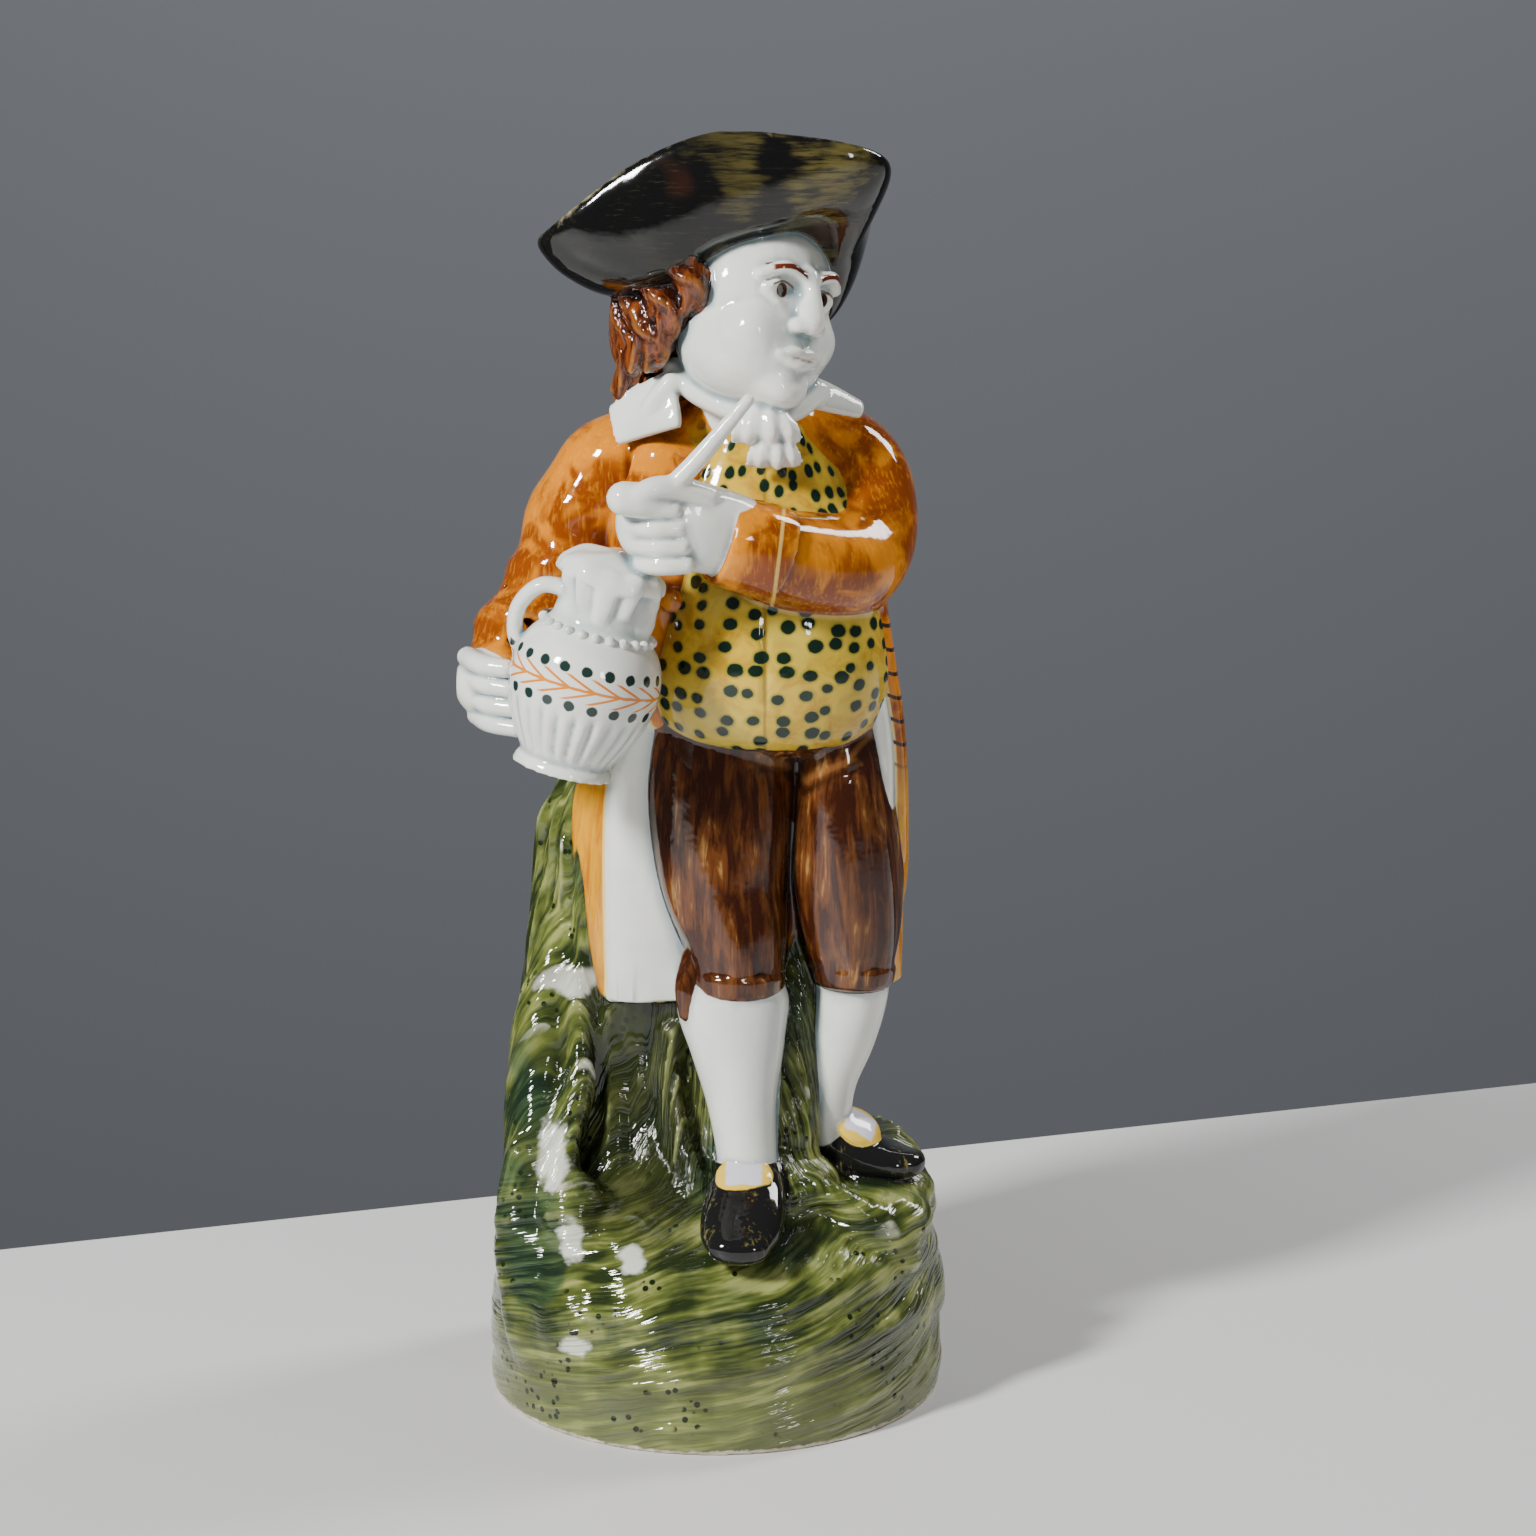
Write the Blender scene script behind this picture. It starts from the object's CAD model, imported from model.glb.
import math

import bpy
import numpy as np
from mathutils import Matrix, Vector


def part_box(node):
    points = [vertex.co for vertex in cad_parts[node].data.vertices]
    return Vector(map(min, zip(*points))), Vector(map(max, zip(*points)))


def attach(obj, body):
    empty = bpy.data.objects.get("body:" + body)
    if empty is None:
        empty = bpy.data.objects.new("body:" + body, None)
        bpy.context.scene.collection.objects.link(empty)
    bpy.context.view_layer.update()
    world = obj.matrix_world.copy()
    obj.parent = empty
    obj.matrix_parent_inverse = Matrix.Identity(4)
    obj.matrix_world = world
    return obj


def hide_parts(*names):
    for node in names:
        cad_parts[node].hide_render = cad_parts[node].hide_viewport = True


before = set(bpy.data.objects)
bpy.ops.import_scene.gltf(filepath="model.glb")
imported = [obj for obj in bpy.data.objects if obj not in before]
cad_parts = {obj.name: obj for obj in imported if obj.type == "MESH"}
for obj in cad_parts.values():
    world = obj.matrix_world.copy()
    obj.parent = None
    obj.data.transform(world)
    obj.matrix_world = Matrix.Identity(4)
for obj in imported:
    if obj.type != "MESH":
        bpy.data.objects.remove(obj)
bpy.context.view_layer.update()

import openvdb
from mathutils import Matrix, Vector

# The figure is set out in parts of a 292.6th of its height; UNIT is one of them in metres.
HEIGHT = 292.61
lowest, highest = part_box("toby_jug")
UNIT = (highest.z - lowest.z) / HEIGHT

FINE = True
CELL = 0.6 if FINE else 1.0  # spacing of the modelling grid, in parts of the figure
BAND = 3.0  # how far from a surface the grid still measures its distance
FACES = 190_000 if FINE else 90_000  # triangles of the finished jug

BASE_RADIUS = 52.3
WALL = 4.5
LIP_SOFTNESS = 0.8
CREASE_REACH = 1.8
FLOOR = 7.0
MOUTH_RADIUS = 12.0
NECK_BORE = 9.0
BRIM_THICKNESS = 3.0
GRIP_WIDTH = 13.0
GRIP_THICKNESS = 8.0
FINGER_GAP = 20.0
PIPE_RADIUS = 1.7

UP = np.array([0.0, 0.0, 1.0])
FRONT = np.array([0.0, -1.0, 0.0])
ACROSS = np.array([1.0, 0.0, 0.0])


# Shapes
def unit(v):
    return v / np.maximum(np.linalg.norm(v, axis=-1, keepdims=True), 1e-9)


def spline(rows, u):
    """A smooth value through rows of numbers, with u from 0 to 1 over them all."""
    rows = np.asarray(rows, float)
    last = len(rows) - 1
    at = np.clip(np.asarray(u, float) * last, 0, last - 1e-9)
    i = at.astype(int)
    t = (at - i)[:, None]
    rows = np.vstack([2 * rows[0] - rows[1], rows, 2 * rows[-1] - rows[-2]])
    p0, p1, p2, p3 = rows[i], rows[i + 1], rows[i + 2], rows[i + 3]
    square, cube = 2 * p0 - 5 * p1 + 4 * p2 - p3, 3 * p1 - p0 - 3 * p2 + p3
    return 0.5 * (2 * p1 + (p2 - p0) * t + square * t**2 + cube * t**3)


def skin(rings):
    """A closed surface over rings of equal length, with a fan over the first and the last."""
    rings = np.asarray(rings)
    count, size = rings.shape[:2]
    points = np.vstack([rings.reshape(-1, 3), rings[0].mean(0), rings[-1].mean(0)])
    j = np.arange(size)
    nxt = (j + 1) % size
    faces = []
    for i in range(count - 1):
        a, b = i * size + j, i * size + nxt
        faces += [np.c_[a, b, b + size], np.c_[a, b + size, a + size]]
    end = (count - 1) * size
    faces += [
        np.c_[nxt, j, np.full(size, count * size)],
        np.c_[end + j, end + nxt, np.full(size, count * size + 1)]]
    return points, np.vstack(faces)


def limb(sections, sides=36, steps=48, ref=FRONT, start=1.0, end=1.0, square=2.0, relief=None, level=False):
    """A skin over sections [x, y, z, half width, half depth], the depth towards ref, with rounded ends."""
    sections = np.asarray(sections, float)
    caps = np.radians([84, 70, 55, 40, 25, 12])
    small = lambda row: min(row[3], row[4])
    u, offset, shrink = [], [], []
    if start:
        u += [0] * len(caps)
        offset += list(-np.sin(caps) * start * small(sections[0]))
        shrink += list(np.cos(caps))
    u += list(np.linspace(0, 1, steps + 1))
    offset += [0] * (steps + 1)
    shrink += [1] * (steps + 1)
    if end:
        u += [1] * len(caps)
        offset += list(np.sin(caps[::-1]) * end * small(sections[-1]))
        shrink += list(np.cos(caps[::-1]))
    u, offset, shrink = np.array(u, float), np.array(offset), np.array(shrink)
    rows = spline(sections, u)
    along = unit(
        spline(sections, np.minimum(1, u + 0.01))[:, :3] - spline(sections, np.maximum(0, u - 0.01))[:, :3])
    if level:
        along = np.tile(UP, (len(u), 1))
    depth = unit(ref - along * (along @ ref)[:, None])
    width = np.cross(depth, along)
    angle = np.linspace(0, 2 * math.pi, sides, endpoint=False)
    c, s = np.cos(angle), np.sin(angle)
    swell = (np.abs(c) ** square + np.abs(s) ** square) ** (-1 / square)
    extra = relief(angle[None, :], u[:, None]) if relief else 0
    wide = (rows[:, 3:4] * swell + extra) * c * shrink[:, None]
    deep = (rows[:, 4:5] * swell + extra) * s * shrink[:, None]
    middle = rows[:, :3] + along * offset[:, None]
    return skin(middle[:, None] + width[:, None] * wide[..., None] + depth[:, None] * deep[..., None])


def turning(x=0, y=0, z=0):
    """Turns about X, then Y, then Z, in degrees, as a 3 by 3 array."""
    turns = [Matrix.Rotation(math.radians(a), 3, axis) for a, axis in ((z, "Z"), (y, "Y"), (x, "X"))]
    return np.array(turns[0] @ turns[1] @ turns[2])


def ball(centre, radii, turns=(0, 0, 0), wide=32, high=20):
    """An ellipsoid with its half axes turned."""
    pole = np.linspace(0, math.pi, high + 1)[1:-1, None]
    about = np.linspace(0, 2 * math.pi, wide, endpoint=False)[None, :]
    points = np.stack(
        [np.sin(pole) * np.cos(about), np.sin(pole) * np.sin(about), np.cos(pole) + 0 * about], -1)
    return skin((points * radii) @ turning(*turns).T + centre)


def placed(shape, turn, centre):
    """A shape turned about its origin and moved."""
    points, faces = shape
    return points @ turn.T + np.asarray(centre, float), faces


def turned(profile, sides=72):
    """A surface of revolution about Z over a profile of radii and heights, from axis to axis."""
    profile = np.asarray(profile, float)
    angle = np.linspace(0, 2 * math.pi, sides, endpoint=False)
    ring = np.stack([np.cos(angle), np.sin(angle), 0 * angle], -1)
    return skin([ring * max(r, 0.01) + UP * h for r, h in profile])


# The casting's forms
# Each is (zone of colour, softness of its joint with the rest, shape).
def rock():
    foot = BASE_RADIUS
    strata = lambda a, u: 0.6 * np.sin(u * 30 + 2 * np.sin(a * 2)) * np.minimum(1, u * 3)
    rows = [
        [0, 0, 0, 1, 1], [0, 0, 12, 1, 1], [0, 0.5, 24, 0.99, 0.97], [0, 1, 34, 0.97, 0.91],
        [0.5, 4, 42, 0.94, 0.76], [2, 9, 49, 0.89, 0.58], [5, 13, 55, 0.74, 0.4]]
    mound = limb(
        [[x, y, z, a * foot, b * foot] for x, y, z, a, b in rows], 96, 60, start=0, end=0, relief=strata,
        level=True)
    waves = ((1.1, 7, 3), (0.7, 19, -5), (0.4, 37, 9))
    bark = lambda a, u: sum(size * np.sin(a * lobes + twist * u) for size, lobes, twist in waves)
    stump = limb(
        [[-4, 12, 30, 44, 36], [-6, 14, 48, 42, 30], [-8, 17, 64, 38.5, 25], [-8.5, 18, 80, 36.5, 23.5],
         [-9, 19, 98, 34.5, 23], [-10.5, 20, 115, 31, 22], [-12.5, 21, 128, 27.5, 20],
         [-14, 21, 138, 21.5, 16]], 110, 60, start=0, end=0.3, relief=bark, level=True)
    ridge = limb(
        [[-36, 8, 104, 5, 5], [-39.5, 2, 84, 7, 6], [-41.5, -6, 62, 7, 7], [-41.5, -16, 40, 7.5, 7],
         [-38, -27, 20, 8, 7]])
    root = limb([[19.5, -3, 108, 4, 3.5], [19, -7, 86, 4.5, 4], [18.5, -12, 62, 5, 5]])
    ribs = [limb(rows, 24, 30) for rows in (
        [[-33, 2, 96, 2.6, 3], [-31, -6, 76, 3.4, 3], [-35, -15, 56, 4, 3.4], [-33, -24, 44, 4.4, 4]],
        [[-10, -4, 84, 2, 3], [-9, -9, 66, 2.4, 3], [-5, -16, 52, 3, 3]],
        [[14.5, -2, 104, 1.6, 2.4], [13.5, -7, 84, 2, 2.6], [14, -14, 62, 2.4, 3], [18, -22, 50, 2, 3]],
        [[24, -22, 53, 3, 2.6], [34, -24, 47, 3.4, 3], [44, -22, 36, 3, 3]],
        [[-44, -14, 58, 3.6, 3], [-46.5, -18, 38, 3.8, 3], [-43, -26, 20, 4, 3]])]
    boulders = [
        ball(*b) for b in (
            [[-31, -19, 44], [8, 8, 10]], [[-19, -26, 38], [7, 7, 8]], [[-31, -33, 24], [9, 8, 9]],
            [[37, -14, 43], [13, 12, 8]], [[38, -2, 44], [13, 11, 9.5]], [[46.5, 1, 22], [7, 12, 7]],
            [[18, -14, 50], [11, 10, 9]])]
    forms = [("rock", 1, mound), ("rock", 6, stump), ("rock", 5, ridge), ("rock", 3, root)]
    return forms + [("rock", 4, r) for r in ribs] + [("rock", 5, b) for b in boulders]


BUCKLES = [
    [[6.8, -28.5, 57.8], [6.6, 6, 1.9], [28, 0, 0]],
    [[33, -5.5, 62], [6, 6, 1.9], [24, 30, 0]],
]


def legs():
    right = limb(
        [[5, -11, 105, 9.5, 9.5], [4.2, -12, 95, 12.8, 11], [5.2, -14, 84, 10.8, 10.5],
         [6.2, -17, 72, 8, 8.6], [7.4, -20, 60, 6.8, 7.4], [7.6, -21, 54, 6.8, 7.4]])
    left = limb(
        [[32, -7, 104, 8.5, 9], [31.6, -6, 94, 8, 9], [29.5, -5, 84, 7.4, 8.5], [27, -4, 74, 6, 7],
         [26, -3, 66, 5.6, 6.2], [26.5, -3, 60, 5.8, 6.4]])
    right_shoe = limb(
        [[7.8, -14, 54, 6.8, 5.5], [7.6, -21, 54, 8.2, 7.5], [7, -30, 51, 9.4, 6.4],
         [6, -38, 47.5, 9.2, 4.8], [5.6, -43, 45.5, 7, 3.6]], ref=UP, square=2.4)
    left_shoe = limb(
        [[22, -1.5, 56, 6, 5.5], [28.5, -3, 57, 7, 6], [36, -5, 55, 7.6, 4.6], [42, -7, 54.2, 6.6, 3.6],
         [45.5, -7.8, 54.2, 4.6, 3]], ref=UP, square=2.4)
    forms = [
        ("white", 1.5, right), ("white", 1.5, left), ("shoe", 0.8, right_shoe), ("shoe", 0.8, left_shoe)]
    return forms + [("gold", 0.4, ball(*b)) for b in BUCKLES]


def breeches():
    creases = lambda a, u: 0.45 * np.sin(
        a * 7 + 4 * u) * u + 0.3 * np.sin(a * 17) * np.maximum(0, u - 0.8) * 5
    right = limb(
        [[2, 1, 158, 18, 17], [2, -2, 140, 17.6, 17], [2.3, -6, 122, 15, 15.5], [4.6, -10, 109, 12, 13],
         [5, -12, 100, 10.6, 11]], 64, end=0.3, relief=creases)
    left = limb(
        [[28.5, 1, 158, 10.5, 14], [28.6, -1, 147, 10.8, 15.5], [29.2, -2, 136, 12.2, 16],
         [30, -4, 122, 12.8, 15], [31, -6.5, 109, 11.4, 12.5], [31.8, -8, 99, 8.6, 9.5]], 64, end=0.3,
        relief=creases)
    seat = ball([12.5, 0, 158], [27, 18.5, 9])
    cuffs = [
        limb([[5, -12, 101.4, 11.2, 11.6], [4.9, -12.1, 98.4, 11, 11.4]], 48, 8, start=0.3, end=0.3),
        limb([[31.9, -7.8, 101.4, 9.6, 10.4], [31.8, -8, 98.6, 9.2, 10]], 48, 8, start=0.3, end=0.3)]
    ribbon = limb([[-5, -15, 106, 2.4, 2], [-6, -17, 99, 3, 2.4], [-6.5, -18, 93, 1.6, 1.4]])
    parts = [(1.5, right), (1.5, left), (2, seat), (0.8, ribbon), *((0.4, cuff) for cuff in cuffs)]
    return [("breeches", soft, shape) for soft, shape in parts]


def left_edge():
    """The outer edge of the coat's left front."""
    return limb(
        [[40, 4, 104, 1.4, 5], [41.9, 3, 120, 2.3, 6.5], [42.1, 2, 135, 2.3, 7], [41.6, 1, 148, 2.4, 7.4],
         [40.3, 0, 160, 2.6, 7.4], [38, -1.5, 173, 2.9, 7], [35.4, -3, 188, 3.2, 6]], start=0.5, end=0.5,
        square=2.4)


COAT_BUTTONS = [[-9.2, -14, 188], [-14.8, -14, 190]]


def coat():
    buttons = [ball(centre, [2.5, 1.5, 2.5]) for centre in COAT_BUTTONS]
    folds = lambda a, u: (1 - u) * 0.9 * np.sin(a * 8 + 1)
    body = limb(
        [[3.5, 14, 92, 39, 20], [3.8, 13, 110, 39, 21], [4.5, 12, 130, 37.3, 21], [5.5, 10.5, 150, 34, 20],
         [6.5, 9, 166, 31.8, 19], [7, 8, 182, 30.5, 18.5], [7, 7.5, 198, 31, 18], [7, 7, 210, 30.5, 16.5],
         [7, 6, 219, 27, 13.5], [7, 5, 226, 19, 10.5], [7, 4, 231, 12, 8.5]], 110, 90, start=0, end=0,
        square=2.3, relief=folds, level=True)
    lining = limb(
        [[-12.5, -1.5, 92.5, 12, 5.5], [-13.5, -1.5, 110, 11.5, 6], [-14.5, -1, 128, 10.5, 6.5],
         [-14.5, -1, 146, 9, 6.5], [-12, -2.5, 162, 5.5, 6.5], [-6, -7, 182, 3, 5], [0, -8, 200, 2.5, 5]],
        start=0, end=0.5, square=2.6)
    left_lining = limb(
        [[37, 1, 108, 2, 5], [38, -1, 125, 2.6, 7], [38, -2, 148, 3, 7.5], [36.6, -3, 162, 3, 7.5],
         [34.6, -4, 175, 2.6, 6.5], [32, -5, 190, 2, 5]], start=0.5, end=0.5, square=2.6)
    right_panel = limb(
        [[-10, -4, 160, 5.5, 7], [-12, -5, 176, 9.5, 8], [-13, -5, 192, 11, 9], [-12, -4, 206, 10, 9],
         [-9, -3, 218, 9, 8]], start=0.6, end=0.6, square=2.3)
    linings = [("white", 0.8, lining), ("white", 0.6, left_lining)]
    fronts = [("coat", 0.6, left_edge()), ("coat", 2, right_panel)]
    return [("coat", 1.5, body), *linings, *fronts, *(("coat", 0.2, button) for button in buttons)]


def waistcoat():
    body = limb(
        [[12, -0.5, 161, 25.6, 20], [12.2, -2, 166, 27, 21.6], [12.6, -3, 172, 27, 21.8],
         [12.8, -3, 181, 25.4, 20.5], [12.4, -1.5, 192, 23, 18.5], [11, 0, 204, 22, 16.5],
         [10, 1, 214, 19, 13.5], [9.5, 2, 223, 13, 10]], 96, 70, start=0.12, end=0.5, square=2.2)
    return [("waistcoat", 0.8, body)]


def sleeves():
    wrinkles = lambda a, u: 0.7 * np.sin(u * 26 + 2 * np.cos(a)) * (0.4 + u)
    right = limb(
        [[-15, 8, 219, 11, 11], [-24, 8, 211, 13, 12.5], [-31, 7, 200, 12.2, 13], [-36, 4, 188, 11.2, 12.5],
         [-43, -1, 179, 10, 11], [-48.5, -6, 171, 8.6, 9.5]], relief=wrinkles, end=0.2)
    left = limb(
        [[22, 8, 219, 11.5, 11], [30, 7.5, 214, 12.6, 12.5], [33.5, 4, 205, 12.4, 13],
         [32.6, -3, 197.5, 12, 12.5], [28, -12, 195.5, 11.5, 11.5], [17, -20, 198.5, 10.6, 10.6],
         [8, -24.5, 202, 10, 9.8]], 48, 60, ref=UP, start=0.8, end=0.2)
    cuff = limb(
        [[13, -22.4, 200.2, 11.2, 11], [8, -24.8, 202.4, 10.9, 10.6], [1.5, -26.8, 204.6, 10.2, 9.8]], 48,
        16, ref=UP, start=0, end=0, square=2.4)
    return [("coat", 2, right), ("coat", 2, left), ("coat", 0.25, cuff)]


def hands():
    finger = lambda rows: limb(rows, 20, 16, ref=UP, start=0.8, end=0.8)
    right_palm = ball([-50.5, -11, 168.5], [7.6, 8.4, 8], [0, 12, 20])
    forms = [("white", 1, right_palm)]
    for n in range(4):
        z, x = 174.8 - 4.5 * n, -52 + 0.7 * n
        bent = [
            [x - 3, -12, z, 2.5, 2.3], [x + 0.5, -19.5, z, 2.5, 2.3], [x + 6.5, -22.8, z - 0.4, 2.3, 2.1]]
        forms.append(("white", 0.5, finger(bent)))
    left_palm = limb(
        [[4, -27, 205.4, 7.4, 9.4], [-4, -30, 208, 8, 9.8], [-11, -31.2, 209, 7.4, 9],
         [-15.5, -31.2, 208.6, 5.6, 7.8]], ref=UP, square=2.6)
    forms.append(("white", 0.8, left_palm))
    for n in range(4):
        z, x = 213.2 - 4.1 * n, 0.9 * n
        bent = [
            [x - 8, -37.6, z, 2.1, 2], [x - 13.5, -37.8, z, 2.4, 2.3],
            [x - 17.6, -34.4, z - 0.2, 2.4, 2.3], [x - 17.5, -30, z - 0.2, 2.3, 2.2]]
        forms.append(("white", 0.7, finger(bent)))
    thumb = [
        [-1, -33.4, 215, 3.2, 3], [-7, -36.4, 217.4, 3, 2.9], [-12.4, -39, 218, 2.8, 2.7],
        [-16, -40, 216.6, 2.4, 2.3]]
    forms.append(("white", 0.7, finger(thumb)))
    return forms


def pipe():
    thin = 1.25 * PIPE_RADIUS
    stem = limb(
        [[-14, -37, 213, thin, thin], [-4, -37.5, 223, thin, thin],
         [8, -36, 237, thin * 0.65, thin * 0.65]], 20, 24)
    bowl = limb(
        [[-11, -37, 214.5, 3.2, 3.2], [-15, -38, 215.2, 3.9, 3.9], [-19, -38.6, 215.8, 3.8, 3.8]], 24, 16,
        ref=UP)
    return [("white", 0.6, stem), ("white", 0.6, bowl)]


ALE_TURN = turning(x=-3) @ turning(y=14.5)
ALE_FOOT = np.array([-33.3, -31, 153.5])


def ale_jug():
    profile = np.array(
        [[0, 0], [10.6, 0], [11, 0.6], [11, 1.6], [10.2, 2.6], [10.6, 4], [12, 6.4], [14.4, 11], [16.2, 16],
         [16.8, 20], [16.4, 25], [14.8, 29], [12.4, 32], [11, 33.6], [10.5, 35], [10.3, 38], [10.5, 42],
         [9.9, 45.2], [8, 46.8], [5, 48], [0, 48.6]])
    points, faces = turned(spline(profile, np.linspace(0, 1, 90)), 240)
    angle = np.arctan2(points[:, 1], points[:, 0])
    height = points[:, 2]
    flute = np.clip((height - 3.5) / 2, 0, 1) * np.clip((16 - height) / 3, 0, 1)
    radius = np.hypot(points[:, 0], points[:, 1])
    factor = 1 + 1.1 * flute * (np.abs(np.sin(angle * 12)) - 0.7) / np.maximum(radius, 1)
    points[:, :2] *= factor[:, None]
    body = placed((points, faces), ALE_TURN, ALE_FOOT)
    spout = limb([[-18, -31, 184, 4, 4.5], [-16, -31.6, 188, 4, 4.5], [-13.8, -32.2, 191, 2.4, 2.4]])
    loop = limb(
        [[-32, -31, 194.5, 1.9, 2.4], [-37.5, -30.5, 195, 1.8, 2.4], [-42.3, -29.5, 190.5, 1.8, 2.4],
         [-43.4, -28.5, 184, 1.8, 2.4], [-41, -28, 177, 1.8, 2.4]])
    dome = np.array([[0, 44], [11, 44], [11.9, 45.4], [11.3, 47.2], [8.4, 49.2], [4.2, 50.3], [0, 50.6]])
    froth_points, froth_faces = turned(spline(dome, np.linspace(0, 1, 60)), 160)
    around = np.arctan2(froth_points[:, 1], froth_points[:, 0])
    out = np.hypot(froth_points[:, 0], froth_points[:, 1]) / 12
    froth_points[:, :2] *= (1 + 0.05 * out * np.sin(9 * around + 1.5 * np.sin(2 * around)))[:, None]
    sag = 1.4 * out * np.clip(np.cos(around + 0.9), 0, 1)
    froth_points[:, 2] += 0.7 * out * np.sin(4 * around + 5 * out) - sag
    froth = [placed((froth_points, froth_faces), ALE_TURN, ALE_FOOT)]
    for turn, long, thick in ((-52, 4, 2.2), (-27, 6.5, 2.5), (0, 9, 2.7), (27, 7, 2.4)):
        side, front = math.sin(math.radians(turn)), -math.cos(math.radians(turn))
        drip = ((9.9, 46, thick, 1.2), (10.9, 43.5, thick, 1.1), (10.4, 45 - long, 0.6 * thick, 0.7))
        run = [[out_by * side, out_by * front, *rest_of_row] for out_by, *rest_of_row in drip]
        froth.append(placed(limb(run, 20, 16), ALE_TURN, ALE_FOOT))
    lip = placed(
        turned([[0, 43], [10.6, 43], [11.6, 43.8], [11.6, 45], [10.6, 45.8], [0, 45.8]]), ALE_TURN,
        ALE_FOOT)
    parts = [(0.4, body), (0.6, lip), (1.5, spout), (0.8, loop), *((0.8, f) for f in froth)]
    return [("white", soft, shape) for soft, shape in parts]


HEAD_TURN, HEAD_LEAN = 42, 16
HEAD_CENTRE = np.array([8.6, -3, 252])
HEAD_AXES = turning(y=HEAD_LEAN, z=HEAD_TURN)


def on_head(forward, sideways, up):
    return (HEAD_AXES @ np.array([sideways, -forward, up]) + HEAD_CENTRE).tolist()


def head_lump(forward, sideways, up, radii, tip=0.0):
    """An ellipsoid in the head's own directions; its half axes are given sideways, forward and up."""
    shape = ball([0, 0, 0], radii, [tip, 0, 0])
    return placed(shape, HEAD_AXES, on_head(forward, sideways, up))


def head_limb(rows, **how):
    """A limb through places given as forward, sideways, up and two radii."""
    how.setdefault("ref", HEAD_AXES @ FRONT)
    return limb([[*on_head(*row[:3]), *row[3:]] for row in rows], 24, 24, **how)


def head():
    forms = [
        ("white", 1, head_lump(-0.5, 0, 3, [17.4, 17.5, 19.5])),
        ("white", 4, head_lump(2.5, 0, -8.5, [16.2, 16.6, 14])),
        ("white", 3, head_lump(12.6, 0, -16, [6, 6.6, 5])),
        ("white", 1.5, limb([[7, 3, 222, 12, 10], [8, 3, 232, 12.5, 12], [7.6, -1, 242, 12, 11]])),
        ("white", 1.5,
         head_limb([[15.6, 0, 8.6, 2.3, 2.6], [17.8, 0, 4, 2.6, 2.8], [19.6, 0, -0.2, 3.1, 3]])),
        ("white", 1, head_lump(20.4, 0, -1.5, [3, 2.5, 2.5])),
        ("white", 0.5,
         head_limb(
             [[18.1, -5.8, -9, 0.7, 0.7], [19.3, -2.2, -8, 1.3, 1.1], [19.5, 0, -8.3, 1.2, 1],
              [19.3, 2.2, -8, 1.3, 1.1], [18.1, 5.8, -9, 0.7, 0.7]], ref=UP)),
        ("white", 0.5,
         head_limb(
             [[18.1, -5, -9.9, 0.7, 0.8], [19.4, 0, -10.8, 1.3, 1.3], [18.1, 5, -9.9, 0.7, 0.8]], ref=UP)),
        ("white", 2.4, head_lump(15.9, 0, -16.6, [4.8, 3.6, 3.4])),
    ]
    for way in (-1, 1):
        forms += [
            ("white", 3, head_lump(11.5, way * 8.4, -5, [6, 5.6, 6])),
            ("white", 1.6,
             head_limb(
                 [[13.4, way * 11.5, 7.2, 1.2, 1.2], [16, way * 7, 9.6, 1.6, 1.5],
                  [16.8, way * 2.6, 8.2, 1.4, 1.3]], ref=UP)),
            ("white", 0.8, head_lump(19, way * 3, -2.3, [1.8, 2.2, 1.7])),
            ("eye", 0.4, head_lump(13.4, way * 6.2, 4.4, [3.3, 2.8, 2.4])),
            ("white", 0.4,
             head_limb(
                 [[14, way * 9.9, 4.6, 0.7, 0.8], [16.2, way * 6.4, 6.6, 0.9, 0.9],
                  [15.8, way * 3, 5, 0.7, 0.8]], ref=UP)),
            ("white", 0.6,
             head_limb(
                 [[13.8, way * 9.9, 3.8, 0.7, 0.8], [15.7, way * 6.4, 2.1, 0.8, 0.9],
                  [15.4, way * 3, 3.6, 0.7, 0.8]], ref=UP)),
        ]
    return forms


def face_carving():
    """Eye sockets, the parting of the lips, nostrils and the dip over the chin, to be cut away."""
    cuts = [
        (0.25,
         head_limb(
             [[19.2, -6, -9.5, 0.4, 0.9], [20.9, -2.4, -9.4, 0.45, 1.2], [21.1, 0, -9.7, 0.45, 1.2],
              [20.9, 2.4, -9.4, 0.45, 1.2], [19.2, 6, -9.5, 0.4, 0.9]], ref=UP)),
        (2.2, head_lump(20.8, 0, -14, [4.2, 1.2, 1])),
        (0.6, head_lump(21, 0, -5.4, [0.9, 1.1, 1.4])),
    ]
    for way in (-1, 1):
        cuts += [
            (2, head_lump(17.6, way * 5.4, 4.8, [3.4, 2.6, 2.4])),
            (0.3, head_lump(21, way * 1.5, -4, [0.7, 1, 0.7]))]
    return cuts


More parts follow.
